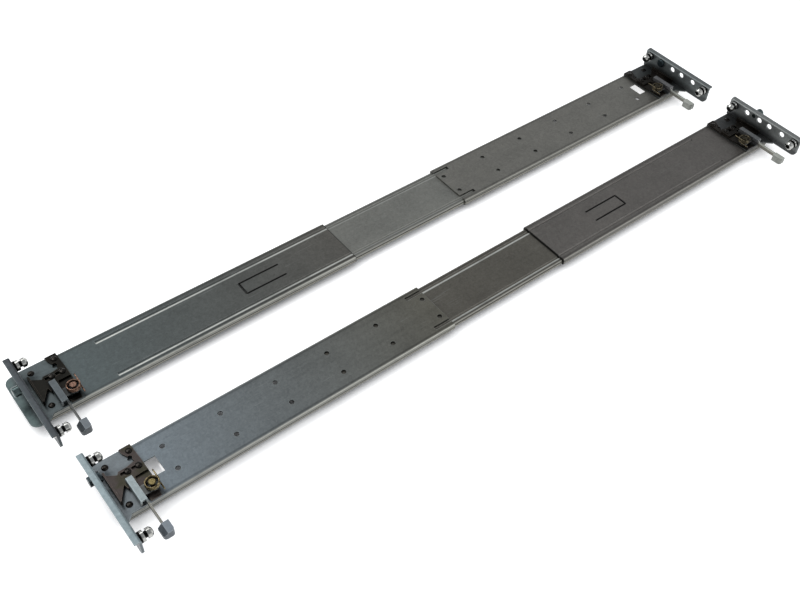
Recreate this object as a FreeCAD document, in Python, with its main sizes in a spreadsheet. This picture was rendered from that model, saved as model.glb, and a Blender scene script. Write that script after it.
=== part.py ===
import FreeCAD, Part
import os
import Sketcher

# A pair of telescoping sliding rails that carry a server in a 19 inch rack, lying on a bench with
# their rack sides up, as they come out of the box.  The left rail is the right rail's mirror image.
#
# Every piece of the right rail is drawn in the rail's own axes:
#   x runs back along the rail from the inner face of the front flange,
#   y runs up the rack, from the middle line of the rail,
#   z is the outward direction, from the outer face of the sleeves.
# An end fitting is drawn once in those axes.  The rear one is mirrored and moved to the rear flange.

SIZES = (
    # sleeves and the channel they slide on
    ("front_sleeve_length", 297.6, "front flange to the open end of the front sleeve"),
    ("rear_sleeve_length", 312.0, "rear flange to the open end of the rear sleeve"),
    ("exposed_length", 130.4, "channel that shows between the two sleeves"),
    ("sleeve_half", 27.2, "half the outer width of a sleeve"),
    ("sleeve_depth", 6.6, "depth of a sleeve's side walls"),
    ("sleeve_sheet", 1.2, "sheet of the sleeves"),
    ("sleeve_hem", 4.6, "width of the hem that holds the channel"),
    ("sleeve_bend", 2.0, "outer bend radius of a sleeve"),
    ("sleeve_setback", 1.0, "sleeve's closed end to the flange"),
    ("slip", 0.3, "clearance between sheets that slide on each other"),
    ("channel_sheet", 1.2, "sheet of the centre channel"),
    ("channel_bend", 1.8, "outer bend radius of the centre channel"),
    ("channel_start", 66.0, "front flange to the channel's front end"),
    ("channel_overlap", 140.0, "channel held in the rear sleeve"),
    ("bead_offset", 20.2, "middle line to a guide bead"),
    ("bead_start", 65.0, "front flange to the start of the sleeve's beads"),
    ("bead_radius", 1.6, "radius of the bead's hollow"),
    ("bead_depth", 0.7, "depth of the bead"),
    # spring tongue that locks the front sleeve on the channel
    ("tongue_root", 62.0, "open end to the root of the tongue"),
    ("tongue_length", 40.0, "length of the tongue"),
    ("tongue_half", 6.5, "half the width of the tongue"),
    ("tongue_cut", 1.0, "width of the cut round the tongue"),
    ("tongue_tip", 1.2, "how far the tip is turned down into the channel"),
    ("tongue_room", 0.6, "room round the tip in the channel's window"),
    # openings of the rear sleeve
    ("web_hole_radius", 2.2, "holes along the rear sleeve"),
    ("web_hole_row", 12.0, "middle line to a row of holes"),
    ("web_hole_start", 53.0, "rear flange to the first pair of holes"),
    ("web_hole_pitch", 50.8, "pair to pair"),
    ("window_start", 35.0, "rear flange to the window"),
    ("window_length", 9.5, "window along the rail"),
    ("window_half", 8.0, "half the window across the rail"),
    ("notch_length", 17.0, "notches in the rear sleeve's mouth"),
    ("notch_half", 2.0, "half the width of a notch"),
    # ball slide under the channel
    ("slide_sheet", 1.2, "sheet of the three slide members"),
    ("slide_bend", 1.5, "outer bend radius of the slide members"),
    ("outer_half", 21.6, "half the width of the outer member"),
    ("outer_depth", 6.5, "depth of the outer member"),
    ("outer_hem", 3.6, "width of the outer member's hem"),
    ("middle_depth", 6.0, "depth of the middle member"),
    ("middle_hem", 3.6, "width of the middle member's hem"),
    ("middle_start", 70.0, "front flange to the middle member"),
    ("middle_length", 480.0, "length of the middle member"),
    ("server_depth", 4.9, "depth of the server member"),
    ("server_start", 4.0, "front flange to the server member"),
    ("server_length", 490.0, "length of the server member"),
    ("server_hole_radius", 2.6, "holes that take the server's shoulder screws"),
    ("server_hole_start", 40.0, "end of the server member to its first hole"),
    ("ball_radius", 1.5, "bearing balls"),
    ("ball_play", 0.1, "clearance of a ball in its track and its cage"),
    ("cage_sheet", 0.8, "sheet of the ball cages"),
    ("cage_height", 3.2, "height of a cage strip"),
    ("outer_cage_start", 185.0, "front flange to the outer cages"),
    ("outer_ball_pitch", 40.0, "ball to ball in the outer cages"),
    ("inner_cage_start", 200.0, "front flange to the inner cages"),
    ("inner_ball_pitch", 32.0, "ball to ball in the inner cages"),
    # end flanges
    ("flange_sheet", 2.0, "sheet of the flange"),
    ("flange_top", 20.5, "top of the flange above the web"),
    ("flange_foot", 1.0, "underside of the flange's wings above the web"),
    ("flange_high", 27.8, "middle line to the upper end of the flange"),
    ("flange_low", 60.7, "middle line to the lower end of the flange"),
    ("flange_round", 5.0, "corner radius of the flange"),
    ("rim_reach", 5.5, "how far the rim stands out from the inner face"),
    ("rim_sheet", 1.5, "sheet of the rim"),
    ("base_sheet", 1.5, "sheet of the base plate on the sleeve"),
    ("base_reach", 34.0, "length of the base plate"),
    ("base_half", 26.4, "half the width of the base plate"),
    ("gusset_reach", 8.0, "gusset along the rail"),
    ("gusset_drop", 7.5, "gusset along the flange"),
    ("ear_reach", 9.3, "how far the front ear stands out from the flange"),
    ("ear_high", 25.0, "middle line to the upper end of the ear"),
    ("ear_low", 31.5, "middle line to the lower end of the ear"),
    ("ear_round", 7.0, "corner radius of the ear"),
    # rack hole pattern
    ("hole_row", 15.0, "height of the hole row above the web"),
    ("hole_radius", 3.0, "rack screw holes"),
    ("pin_start", 21.5, "middle line to the upper locating pin"),
    ("rack_pitch", 15.875, "rack hole spacing within a unit"),
    ("rack_gap", 12.7, "rack hole spacing between units"),
    # locating pins
    ("pin_shank_radius", 2.5, "riveted shank"),
    ("pin_collar_radius", 4.5, "collar that fills the rack hole"),
    ("pin_collar_length", 4.0, "collar"),
    ("pin_neck_radius", 2.6, "neck behind the head"),
    ("pin_neck_length", 2.2, "neck"),
    ("pin_head_radius", 4.0, "head"),
    ("pin_head_length", 4.8, "head"),
    ("pin_tail_height", 0.8, "riveted end on the outer face"),
    # rivets
    ("rivet_radius", 1.5, "rivet shank"),
    ("rivet_head_radius", 2.7, "rivet head"),
    ("rivet_head_height", 1.2, "rivet head"),
    ("rivet_tail_height", 0.7, "rivet tail under the sleeve"),
    ("rivet_fit", 0.05, "clearance of shanks in their holes"),
    ("base_rivet_x", 9.5, "flange to the base plate's rivets"),
    ("base_rivet_y", 19.15, "middle line to the base plate's rivets"),
    ("corner_rivet_x", 30.4, "flange to the latch plate's corner rivet"),
    ("corner_rivet_y", 21.2, "middle line to the latch plate's corner rivet"),
    # latch plate, jaw and release lever
    ("latch_sheet", 1.5, "sheet of the latch plate"),
    ("latch_reach", 34.4, "flange to the far edge of the latch plate"),
    ("latch_tab_x", 24.4, "flange to the latch plate's upper tab"),
    ("latch_tab_length", 4.4, "upper tab across the rail"),
    ("latch_step_x", 30.0, "flange to the step under the small hole"),
    ("peep_x", 28.0, "flange to the small hole in the latch plate"),
    ("peep_y", 15.1, "middle line to the small hole"),
    ("peep_radius", 2.1, "small hole"),
    ("jaw_sheet", 1.5, "sheet of the jaw"),
    ("jaw_gap", 4.4, "shut jaw to the flange"),
    ("jaw_travel", 3.9, "travel of the jaw"),
    ("jaw_high", 11.5, "middle line to the jaw's upper corner"),
    ("jaw_low", 17.5, "middle line to the jaw's lower corner"),
    ("jaw_neck_x", 13.5, "flange to the jaw's neck"),
    ("jaw_lip", 5.2, "height of the jaw's turned up edge"),
    ("jaw_tail_x", 34.0, "flange to the jaw's tail"),
    ("guide_near_x", 21.0, "flange to the near guide rivet"),
    ("guide_far_x", 30.0, "flange to the far guide rivet"),
    ("guide_y", 4.3, "middle line to the guide rivets"),
    ("pivot_x", 30.0, "flange to the lever's pivot"),
    ("pivot_y", 17.5, "middle line down to the lever's pivot"),
    ("pivot_radius", 2.0, "pivot pin"),
    ("pivot_shoulder_radius", 3.4, "shoulder under the lever"),
    ("pivot_head_radius", 2.9, "pivot head"),
    ("pivot_head_height", 1.0, "pivot head"),
    ("lever_sheet", 1.4, "sheet of the lever"),
    ("lever_height", 4.9, "height of the lever's channel"),
    ("lever_near_x", 15.3, "flange to the lever's near wall"),
    ("lever_far_x", 19.6, "flange to the lever's blade"),
    ("lever_high", 3.4, "middle line down to the lever's upper end"),
    ("lever_low", 27.3, "middle line down to the end of the lever's channel"),
    ("lever_boss_radius", 4.8, "eye round the pivot"),
    ("lever_round", 2.0, "corner radius of the lever's channel"),
    ("arm_neck", 3.0, "end of the lever's channel to the arm's narrow part"),
    ("arm_tip_y", 55.0, "middle line down to the arm's tip"),
    ("arm_step", 2.0, "how far the arm's top lies under the channel's top"),
    ("arm_height", 4.4, "height of the arm"),
    ("stud_x", 18.5, "flange to the stud that moves the jaw"),
    ("stud_y", 5.0, "middle line down to the stud"),
    ("stud_radius", 1.5, "stud"),
    ("stud_swing", 2.8, "how far the stud moves across the rail"),
    ("pad_width", 9.0, "finger pad along the rail"),
    ("pad_length", 10.0, "finger pad across the rail"),
    ("pad_height", 7.2, "finger pad"),
    ("pad_cover", 5.0, "how far the arm goes into the pad"),
    ("pad_slope_width", 3.5, "sloping face of the pad along the rail"),
    ("pad_slope_drop", 4.0, "how far the sloping face drops"),
    ("pad_under", 2.0, "pad under the arm's lower edge"),
    ("pad_round", 2.6, "edge radius of the pad"),
    ("coil_radius", 5.2, "middle of the spring wire to the pivot"),
    ("coil_wire_radius", 0.6, "spring wire"),
    ("coil_pitch", 1.3, "turn to turn"),
    ("coil_turns", 3.0, "turns of the spring"),
    ("coil_leg", 8.5, "spring leg"),
    # thumb knob on the front flange, screw on the rear flange
    ("knob_y", 3.0, "middle line down to the knob"),
    ("knob_height", 16.3, "height of the knob's middle above the web"),
    ("knob_stem_radius", 2.3, "knob's stem"),
    ("knob_stem_length", 4.0, "knob's stem"),
    ("knob_radius", 4.2, "knob"),
    ("knob_length", 5.3, "knob"),
    ("nut_width", 7.8, "nut across its flats"),
    ("nut_length", 5.4, "nut"),
    ("screw_radius", 2.8, "screw"),
    ("screw_head_radius", 4.4, "screw's head"),
    ("screw_head_height", 2.6, "screw's head"),
    # the pair
    ("rail_spacing", 113.6, "middle line to middle line of the two rails"),
    ("rail_stagger", 3.3, "how far each rail lies off the pair's middle"),
)

X_WAY = FreeCAD.Vector(1, 0, 0)
Y_WAY = FreeCAD.Vector(0, 1, 0)
Z_WAY = FreeCAD.Vector(0, 0, 1)
NEAR = 1e-4
WEB_HOLE_PAIR_COUNT = 6
OUTER_BALL_COUNT = 6
INNER_BALL_COUNT = 5


class Size:
    """A number that remembers the spreadsheet expression that gives it."""

    def __init__(self, value, text=None):
        self.value = float(value)
        self.text = text or repr(float(value))

    def __add__(self, other):
        other = as_size(other)
        return Size(self.value + other.value, f"({self.text} + {other.text})")

    def __sub__(self, other):
        other = as_size(other)
        return Size(self.value - other.value, f"({self.text} - {other.text})")

    def __mul__(self, other):
        other = as_size(other)
        return Size(self.value * other.value, f"({self.text} * {other.text})")

    def __truediv__(self, other):
        other = as_size(other)
        return Size(self.value / other.value, f"({self.text} / {other.text})")

    def __rsub__(self, other):
        return as_size(other) - self

    def __neg__(self):
        return Size(-self.value, f"(-{self.text})")

    __radd__ = __add__
    __rmul__ = __mul__


def as_size(number):
    return number if isinstance(number, Size) else Size(number)


class Sheet:
    """The spreadsheet of driving dimensions; reading an attribute gives that cell as a Size."""

    def __init__(self, doc):
        self.cells = doc.addObject("Spreadsheet::Sheet", "Sizes")
        for row, (alias, value, meaning) in enumerate(SIZES, start=1):
            self.cells.set(f"A{row}", meaning)
            self.cells.set(f"B{row}", str(value))
            self.cells.setAlias(f"B{row}", alias)
        doc.recompute()

    def __getattr__(self, alias):
        return Size(getattr(self.cells, alias), f"Sizes.{alias}")


DOC = FreeCAD.newDocument("sliding_rail_pair")
S = Sheet(DOC)

# Levels and places that several pieces share.
RAIL_LENGTH = S.front_sleeve_length + S.exposed_length + S.rear_sleeve_length
CHANNEL_TOP = -(S.sleeve_sheet + S.slip)
CHANNEL_DEPTH = S.sleeve_depth - 2 * S.sleeve_sheet - 2 * S.slip
CHANNEL_HALF = S.sleeve_half - S.sleeve_sheet - S.slip
CHANNEL_END = S.front_sleeve_length + S.exposed_length + S.channel_overlap
OUTER_TOP = CHANNEL_TOP - S.channel_sheet
TRACK = 2 * (S.ball_radius + S.ball_play)
MIDDLE_TOP = OUTER_TOP - S.slide_sheet - S.slip
MIDDLE_HALF = S.outer_half - S.slide_sheet - TRACK
SERVER_TOP = MIDDLE_TOP - S.slide_sheet - S.slip - 0.2
SERVER_HALF = MIDDLE_HALF - S.slide_sheet - TRACK
SERVER_FACE = SERVER_TOP - S.server_depth
LATCH_SEAT = S.base_sheet
LATCH_TOP = LATCH_SEAT + S.latch_sheet
JAW_SEAT = LATCH_TOP + S.slip
JAW_TOP = JAW_SEAT + S.jaw_sheet
LEVER_SEAT = JAW_TOP + S.slip
LEVER_TOP = LEVER_SEAT + S.lever_height
ARM_TOP = LEVER_TOP - S.arm_step
ARM_FOOT = ARM_TOP - S.arm_height
HOLE_PLACES = (
    S.pin_start - S.rack_pitch,
    S.pin_start - 2 * S.rack_pitch,
    S.pin_start - 2 * S.rack_pitch - S.rack_gap,
    S.pin_start - 3 * S.rack_pitch - S.rack_gap,
)
PIN_PLACES = (S.pin_start, S.pin_start - 4 * S.rack_pitch - S.rack_gap)
GUIDES = ((S.guide_near_x, S.guide_y), (S.guide_far_x, S.guide_y))
BASE_RIVETS = ((S.base_rivet_x, S.base_rivet_y), (S.base_rivet_x, -S.base_rivet_y))
CORNER_RIVET = (S.corner_rivet_x, S.corner_rivet_y)
PIVOT = (S.pivot_x, -S.pivot_y)
STUD = (S.stud_x, -S.stud_y)

cuts = []  # (piece, volume before, volume after) of every pocket


# ---- helpers -------------------------------------------------------------------------------------


def new_body(name):
    return DOC.addObject("PartDesign::Body", name)


def origin_feature(body, role):
    return next(f for f in body.Origin.OriginFeatures if f.Role == role)


def sketch_on(body, name, role, height=0):
    """A sketch on one of the body's origin planes, lifted along that plane's normal."""
    sketch = body.newObject("Sketcher::SketchObject", name)
    sketch.AttachmentSupport = [(origin_feature(body, role), "")]
    sketch.MapMode = "FlatFace"
    sketch.setExpression("AttachmentOffset.Base.z", as_size(height).text)
    return sketch


def hold(sketch, kind, geometry, position, size):
    """Hold one point of a sketch at a distance from the sketch's origin."""
    size = as_size(size)
    index = sketch.addConstraint(Sketcher.Constraint(kind, -1, 1, geometry, position, size.value))
    sketch.setExpression(f"Constraints[{index}]", size.text)


def draw_outline(sketch, points):
    """A closed run of straight lines with each corner held at its own place."""
    points = [(as_size(x), as_size(y)) for x, y in points]
    corners = [FreeCAD.Vector(x.value, y.value, 0) for x, y in points]
    first = sketch.GeometryCount
    count = len(corners)
    following = corners[1:] + corners[:1]
    sketch.addGeometry([Part.LineSegment(a, b) for a, b in zip(corners, following)], False)
    for n, (x, y) in enumerate(points):
        sketch.addConstraint(Sketcher.Constraint("Coincident", first + n, 2, first + (n + 1) % count, 1))
        hold(sketch, "DistanceX", first + n, 1, x)
        hold(sketch, "DistanceY", first + n, 1, y)


def draw_circle(sketch, x, y, radius):
    x, y, radius = as_size(x), as_size(y), as_size(radius)
    centre = FreeCAD.Vector(x.value, y.value, 0)
    circle = sketch.addGeometry(Part.Circle(centre, Z_WAY, radius.value), False)
    hold(sketch, "DistanceX", circle, 3, x)
    hold(sketch, "DistanceY", circle, 3, y)
    index = sketch.addConstraint(Sketcher.Constraint("Radius", circle, radius.value))
    sketch.setExpression(f"Constraints[{index}]", radius.text)


def box_outline(x_low, x_high, y_low, y_high):
    return [(x_low, y_low), (x_high, y_low), (x_high, y_high), (x_low, y_high)]


def pad(body, name, sketch, length, reverse=False):
    feature = body.newObject("PartDesign::Pad", name)
    feature.Profile = sketch
    feature.Reversed = reverse
    feature.setExpression("Length", as_size(length).text)
    DOC.recompute()
    return feature


def pocket(body, name, sketch, depth=None, reverse=False):
    """A pocket of the given depth, or right through both ways when no depth is given."""
    before = body.Shape.Volume
    feature = body.newObject("PartDesign::Pocket", name)
    feature.Profile = sketch
    feature.Reversed = reverse
    if depth is None:
        feature.Type = "ThroughAll"
        feature.Midplane = True
    else:
        feature.setExpression("Length", as_size(depth).text)
    DOC.recompute()
    cuts.append((f"{body.Label} {name}", before, feature.Shape.Volume))
    return feature


def edges_along(shape, way, places):
    """Names of the straight edges that run along way through one of the places."""
    names = []
    for n, edge in enumerate(shape.Edges, start=1):
        if edge.Curve.TypeId != "Part::GeomLine":
            continue
        run = edge.Vertexes[-1].Point - edge.Vertexes[0].Point
        if run.cross(way).Length > NEAR * run.Length:
            continue
        start = edge.Vertexes[0].Point
        if any((place - start).cross(way).Length < NEAR for place in places):
            names.append(f"Edge{n}")
    return names


def fillet(body, name, radius, way, places):
    """Round the straight edges of the body's tip that run along way through the places."""
    tip = body.Tip
    radius = as_size(radius)
    points = [FreeCAD.Vector(*(as_size(c).value for c in place)) for place in places]
    names = edges_along(tip.Shape, way, points)
    if len(names) < len(points):
        raise RuntimeError(f"{body.Label} {name}: {len(names)} edges for {len(points)} corners")
    feature = body.newObject("PartDesign::Fillet", name)
    feature.Base = (tip, names)
    feature.setExpression("Radius", radius.text)
    DOC.recompute()
    return feature


def turned(name, profile, place, way="X_Axis"):
    """A turned piece: the profile, (along, radius) pairs, is turned round the axis at place."""
    body = new_body(name)
    sketch = sketch_on(body, f"{name}_profile", "XY_Plane" if way == "X_Axis" else "YZ_Plane")
    if way == "X_Axis":
        draw_outline(sketch, profile)
    else:
        draw_outline(sketch, [(radius, along) for along, radius in profile])
    turn = body.newObject("PartDesign::Revolution", f"{name}_turn")
    turn.Profile = sketch
    turn.ReferenceAxis = (origin_feature(body, way), [""])
    turn.Angle = 360
    put(body, place)
    DOC.recompute()
    return body


def put(piece, place):
    """Bind the piece's Placement to its place."""
    for axis, size in zip("xyz", place):
        piece.setExpression(f"Placement.Base.{axis}", as_size(size).text)


def together(name, pieces):
    group = DOC.addObject("Part::Compound", name)
    group.Links = pieces
    return group


def across(name, piece, normal):
    """The mirror image of a piece in a plane through the origin."""
    image = DOC.addObject("Part::Mirroring", name)
    image.Source = piece
    image.Normal = normal
    return image


# ---- sleeves, channel and ball slide ------------------------------------------------------------


def channel_section(half, top, depth, sheet, hem):
    """Section of a folded channel, web up: side walls and, where hem isn't None, hems turned in."""
    foot = top - depth
    side = [(half, top), (half, foot)]
    if hem is None:
        side += [(half - sheet, foot)]
    else:
        side += [(half - hem, foot), (half - hem, foot + sheet), (half - sheet, foot + sheet)]
    side += [(half - sheet, top - sheet)]
    return side + [(-y, z) for y, z in reversed(side)]


def folded_channel(name, start, length, half, top, depth, sheet, hem, bend):
    """A channel folded from sheet, with rounded bends, along x from start."""
    body = new_body(name)
    section = sketch_on(body, f"{name}_section", "YZ_Plane", start)
    draw_outline(section, channel_section(half, top, depth, sheet, hem))
    pad(body, f"{name}_run", section, length)
    outside = [(0, half, top), (0, -half, top)]
    inside = [(0, half - sheet, top - sheet), (0, sheet - half, top - sheet)]
    if hem is not None:
        foot = top - depth
        outside += [(0, half, foot), (0, -half, foot)]
    fillet(body, f"{name}_bends", bend, X_WAY, outside)
    fillet(body, f"{name}_inner_bends", bend - sheet, X_WAY, inside)
    return body


def press_beads(body, start, length, top):
    """The two long guide beads in the web."""
    section = sketch_on(body, f"{body.Label}_bead_section", "YZ_Plane", start)
    for side in (1, -1):
        draw_circle(section, side * S.bead_offset, top + S.bead_radius - S.bead_depth, S.bead_radius)
    pocket(body, f"{body.Label}_beads", section, length, reverse=True)


def drill_web(body, places, radius):
    """Holes through the web for rivets, screws or a peep hole."""
    sketch = sketch_on(body, f"{body.Label}_web_holes", "XY_Plane")
    for x, y in places:
        draw_circle(sketch, x, y, radius)
    pocket(body, f"{body.Label}_drilled", sketch)


def sleeve(name, length):
    body = folded_channel(
        name,
        S.sleeve_setback,
        length - S.sleeve_setback,
        S.sleeve_half,
        as_size(0),
        S.sleeve_depth,
        S.sleeve_sheet,
        S.sleeve_hem,
        S.sleeve_bend,
    )
    drill_web(body, rivet_places(), S.rivet_radius + S.rivet_fit)
    return body


def front_sleeve():
    """Front sleeve with its beads and the spring tongue that locks it on the channel."""
    body = sleeve("front_sleeve_blank", S.front_sleeve_length)
    press_beads(body, S.bead_start, S.front_sleeve_length - S.bead_start, as_size(0))
    root = S.front_sleeve_length - S.tongue_root
    tip = root - S.tongue_length
    outer = S.tongue_half + S.tongue_cut
    cut = sketch_on(body, "tongue_outline", "XY_Plane")
    draw_outline(
        cut,
        [
            (root, outer),
            (tip - S.tongue_cut, outer),
            (tip - S.tongue_cut, -outer),
            (root, -outer),
            (root, -S.tongue_half),
            (tip, -S.tongue_half),
            (tip, S.tongue_half),
            (root, S.tongue_half),
        ],
    )
    pocket(body, "tongue_cut_out", cut)
    turn_down = sketch_on(body, "tongue_tip_outline", "XY_Plane", -S.sleeve_sheet)
    inset = S.tongue_half - S.tongue_cut
    draw_outline(turn_down, box_outline(tip, tip + S.sleeve_sheet, -inset, inset))
    pad(body, "tongue_tip_fold", turn_down, S.tongue_tip, reverse=True)
    return body


def centre_channel():
    """Channel that joins the sleeves; its window takes the tip of the spring tongue."""
    length = CHANNEL_END - S.channel_start
    body = folded_channel(
        "channel_blank",
        S.channel_start,
        length,
        CHANNEL_HALF,
        CHANNEL_TOP,
        CHANNEL_DEPTH,
        S.channel_sheet,
        None,
        S.channel_bend,
    )
    press_beads(body, S.channel_start, length, CHANNEL_TOP)
    tip = S.front_sleeve_length - S.tongue_root - S.tongue_length
    half = S.tongue_half - S.tongue_cut + S.tongue_room
    window = sketch_on(body, "tongue_window", "XY_Plane")
    far = tip + S.sleeve_sheet + S.tongue_room
    draw_outline(window, box_outline(tip - S.tongue_room, far, -half, half))
    pocket(body, "tongue_window_cut", window)
    return body


def rear_sleeve():
    """Rear sleeve with its rows of holes, its window and the notches in its mouth."""
    body = sleeve("rear_sleeve_blank", S.rear_sleeve_length)
    openings = sketch_on(body, "rear_window", "XY_Plane")
    far = S.window_start + S.window_length
    draw_outline(openings, box_outline(S.window_start, far, -S.window_half, S.window_half))
    mouth = S.rear_sleeve_length - S.notch_length
    past = S.rear_sleeve_length + 1
    for side in (1, -1):
        low = side * S.bead_offset - S.notch_half
        high = side * S.bead_offset + S.notch_half
        draw_outline(openings, box_outline(mouth, past, low, high))
    pocket(body, "rear_openings", openings)
    pair = sketch_on(body, "web_hole_pair", "XY_Plane")
    for side in (1, -1):
        draw_circle(pair, S.web_hole_start, side * S.web_hole_row, S.web_hole_radius)
    first = pocket(body, "web_holes", pair)
    row = body.newObject("PartDesign::LinearPattern", "web_hole_rows")
    row.Originals = [first]
    row.Direction = (origin_feature(body, "X_Axis"), [""])
    row.Mode = "Spacing"
    row.setExpression("Offset", S.web_hole_pitch.text)
    row.Occurrences = WEB_HOLE_PAIR_COUNT
    body.Tip = row
    DOC.recompute()
    cuts.append(("rear sleeve rows", first.Shape.Volume, row.Shape.Volume))
    return body


def outer_member():
    """Outer member of the ball slide, fixed under the centre channel."""
    return folded_channel(
        "outer_member",
        S.channel_start,
        CHANNEL_END - S.channel_start,
        S.outer_half,
        OUTER_TOP,
        S.outer_depth,
        S.slide_sheet,
        S.outer_hem,
        S.slide_bend,
    )


def middle_member():
    return folded_channel(
        "middle_member",
        S.middle_start,
        S.middle_length,
        MIDDLE_HALF,
        MIDDLE_TOP,
        S.middle_depth,
        S.slide_sheet,
        S.middle_hem,
        S.slide_bend,
    )


def server_member():
    """Member that is screwed to the server: a channel with its web down, away from the rack."""
    name = "server_member"
    body = new_body(name)
    section = sketch_on(body, f"{name}_section", "YZ_Plane", S.server_start)
    inner = SERVER_HALF - S.slide_sheet
    side = [
        (SERVER_HALF, SERVER_FACE),
        (SERVER_HALF, SERVER_TOP),
        (inner, SERVER_TOP),
        (inner, SERVER_FACE + S.slide_sheet),
    ]
    draw_outline(section, side + [(-y, z) for y, z in reversed(side)])
    pad(body, f"{name}_run", section, S.server_length)
    corners = [(0, SERVER_HALF, SERVER_FACE), (0, -SERVER_HALF, SERVER_FACE)]
    fillet(body, f"{name}_bends", S.slide_bend, X_WAY, corners)
    near = S.server_start + S.server_hole_start
    far = S.server_start + S.server_length - S.server_hole_start
    drill_web(body, [(near, 0), (far, 0)], S.server_hole_radius)
    return body


def cage_strips(name, start, pitch, count, middle_y, middle_z):
    """A pair of thin strips with a hole for each ball, one on each side of the slide."""
    body = new_body(f"{name}_strip")
    face = sketch_on(body, f"{name}_face", "XZ_Plane", -middle_y - S.cage_sheet / 2)
    low = middle_z - S.cage_height / 2
    high = middle_z + S.cage_height / 2
    draw_outline(face, box_outline(start, start + count * pitch, low, high))
    pad(body, f"{name}_plate", face, S.cage_sheet)
    hole = sketch_on(body, f"{name}_hole", "XZ_Plane")
    draw_circle(hole, start + pitch / 2, middle_z, S.ball_radius + S.ball_play / 2)
    first = pocket(body, f"{name}_hole_cut", hole)
    row = body.newObject("PartDesign::LinearPattern", f"{name}_holes")
    row.Originals = [first]
    row.Direction = (origin_feature(body, "X_Axis"), [""])
    row.Mode = "Spacing"
    row.setExpression("Offset", pitch.text)
    row.Occurrences = count
    body.Tip = row
    return together(name, [body, across(f"{name}_other_strip", body, Y_WAY)])


def ball_rows(name, start, pitch, count, middle_y, middle_z):
    balls = []
    for n in range(count):
        for side in (1, -1):
            ball = DOC.addObject("Part::Sphere", f"{name}_ball")
            ball.setExpression("Radius", S.ball_radius.text)
            put(ball, (start + pitch * (n + 0.5), side * middle_y, middle_z))
            balls.append(ball)
    return together(name, balls)


# ---- end fitting --------------------------------------------------------------------------------


def rivet_places():
    """Where the base plate and the latch plate are riveted to a sleeve."""
    return [*BASE_RIVETS, CORNER_RIVET, *GUIDES]


def bracket(name, with_ear):
    """End flange with its rim, on a base plate that reaches over the sleeve; the front has an ear."""
    body = new_body(name)
    angle = sketch_on(body, f"{name}_angle", "XZ_Plane", -S.flange_high)
    draw_outline(
        angle,
        [
            (0, 0),
            (0, S.flange_top),
            (-S.rim_reach, S.flange_top),
            (-S.rim_reach, S.flange_top - S.rim_sheet),
            (-S.flange_sheet, S.flange_top - S.rim_sheet),
            (-S.flange_sheet, 0),
        ],
    )
    pad(body, f"{name}_flange", angle, S.flange_high + S.flange_low)
    fillet(body, f"{name}_rim_bend", S.flange_sheet - 0.4, Y_WAY, [(0, 0, S.flange_top)])
    wings = sketch_on(body, f"{name}_wings", "YZ_Plane")
    wing = S.base_half + S.gusset_drop
    draw_outline(wings, box_outline(-S.flange_low - 1, -wing, -1, S.flange_foot))
    draw_outline(wings, box_outline(S.base_half, S.flange_high + 1, -1, S.flange_foot))
    pocket(body, f"{name}_wing_feet", wings)
    corner = (0, -S.flange_low, S.flange_foot)
    fillet(body, f"{name}_corner", S.flange_round, X_WAY, [corner])
    plate = sketch_on(body, f"{name}_plate", "XY_Plane")
    if with_ear:
        out = -S.flange_sheet - S.ear_reach
        ear = [(0, S.ear_high), (out, S.ear_high), (out, -S.ear_low), (0, -S.ear_low)]
    else:
        ear = [(-S.flange_sheet, S.base_half), (-S.flange_sheet, -S.base_half)]
    draw_outline(
        plate,
        [(S.base_reach, S.base_half), (0, S.base_half)]
        + ear
        + [(0, -wing), (S.gusset_reach, -S.base_half), (S.base_reach, -S.base_half)],
    )
    pad(body, f"{name}_base", plate, S.base_sheet)
    if with_ear:
        corners = [(out, S.ear_high, 0), (out, -S.ear_low, 0)]
        fillet(body, f"{name}_ear_corners", S.ear_round, Z_WAY, corners)
    row = sketch_on(body, f"{name}_row", "YZ_Plane")
    for y in HOLE_PLACES:
        draw_circle(row, y, S.hole_row, S.hole_radius)
    for y in PIN_PLACES:
        draw_circle(row, y, S.hole_row, S.pin_shank_radius + S.rivet_fit)
    if with_ear:
        draw_circle(row, -S.knob_y, S.knob_height, S.knob_stem_radius + S.rivet_fit)
    pocket(body, f"{name}_row_holes", row)
    drill_web(body, rivet_places(), S.rivet_radius + S.rivet_fit)
    peep = sketch_on(body, f"{name}_peep", "XY_Plane")
    draw_circle(peep, S.peep_x, S.peep_y, S.peep_radius)
    pocket(body, f"{name}_peep_hole", peep)
    return body


def locating_pins(name):
    """Two shouldered pins that stand in the rack's holes, riveted through the flange."""
    collar = S.pin_collar_length
    neck = collar + S.pin_neck_length
    nose = neck + S.pin_head_length
    tail = -S.flange_sheet - S.pin_tail_height
    crown = S.pin_head_radius - 1.2
    profile = [
        (tail, 0),
        (tail, S.pin_shank_radius + 0.6),
        (-S.flange_sheet, S.pin_shank_radius + 1),
        (-S.flange_sheet, S.pin_shank_radius),
        (0, S.pin_shank_radius),
        (0, S.pin_collar_radius),
        (collar, S.pin_collar_radius),
        (collar, S.pin_neck_radius),
        (neck, S.pin_neck_radius),
        (neck, S.pin_head_radius),
        (nose - 1.8, S.pin_head_radius),
        (nose - 0.5, crown),
        (nose, crown - 1),
        (nose, 0),
    ]
    pins = [turned(f"{name}_pin", profile, (0, y, S.hole_row)) for y in PIN_PLACES]
    return together(name, pins)


def rivet(name, place, seat):
    """A rivet with a domed head on seat, through everything down to its tail under the sleeve."""
    foot = -S.sleeve_sheet
    shank = S.rivet_radius
    head = S.rivet_head_radius
    top = seat + S.rivet_head_height
    profile = [
        (foot - S.rivet_tail_height, 0),
        (foot - S.rivet_tail_height, shank + 0.4),
        (foot, shank + 0.8),
        (foot, shank),
        (seat, shank),
        (seat, head),
        (seat + S.rivet_head_height * 0.4, head * 0.94),
        (seat + S.rivet_head_height * 0.8, head * 0.66),
        (top, head * 0.3),
        (top, 0),
    ]
    return turned(name, profile, (*place, 0), "Z_Axis")


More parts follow.
